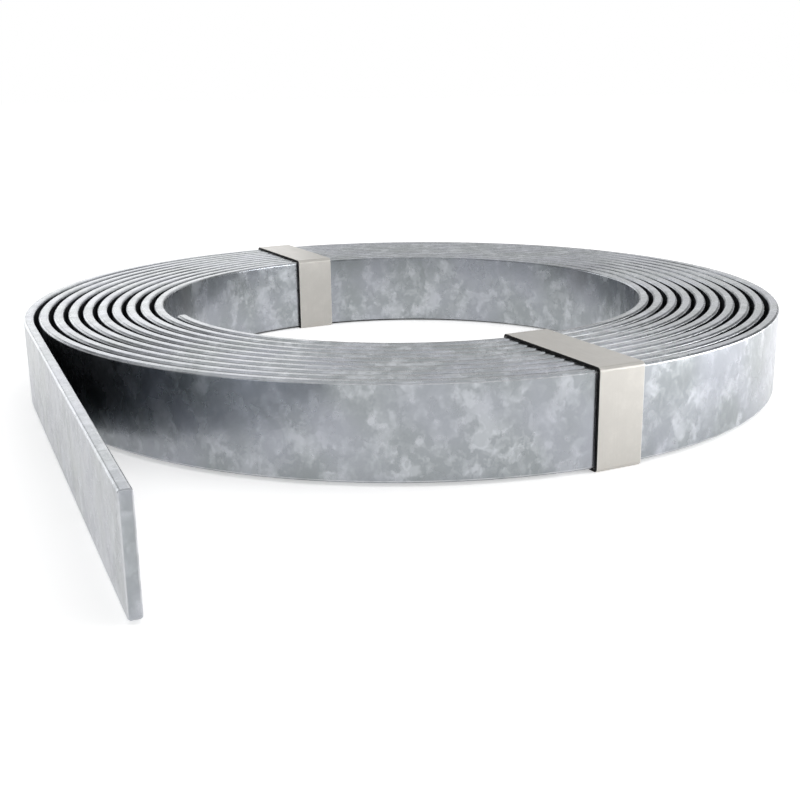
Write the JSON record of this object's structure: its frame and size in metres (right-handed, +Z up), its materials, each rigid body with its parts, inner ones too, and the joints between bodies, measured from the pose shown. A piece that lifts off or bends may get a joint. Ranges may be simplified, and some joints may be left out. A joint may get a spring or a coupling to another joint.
{
  "type": "steel coil",
  "caption": "Ring of galvanised steel flat strip wound on edge into an open spiral, with a free inner end, a straight tail and steel straps round its turns.",
  "frame": {"origin": "on the coil's axis, at the level of the floor that the straps rest on", "axes": "+Z up along the coil's axis, the narrow way of the whole; +Y to the back, away from the tail, along the longest way; +X to the right as seen from the tail's side"},
  "size_m": [0.2852, 0.3671, 0.032],
  "materials": {
    "zinc_strip": "hot-dip galvanised, cloudy satin zinc",
    "strap_steel": "bright steel strapping, lightly brushed"
  },
  "bodies": {
    "root": {"flat_strip": "zinc_strip", "front_strap": "strap_steel", "rear_strap": "strap_steel"}
  },
  "joints": []
}
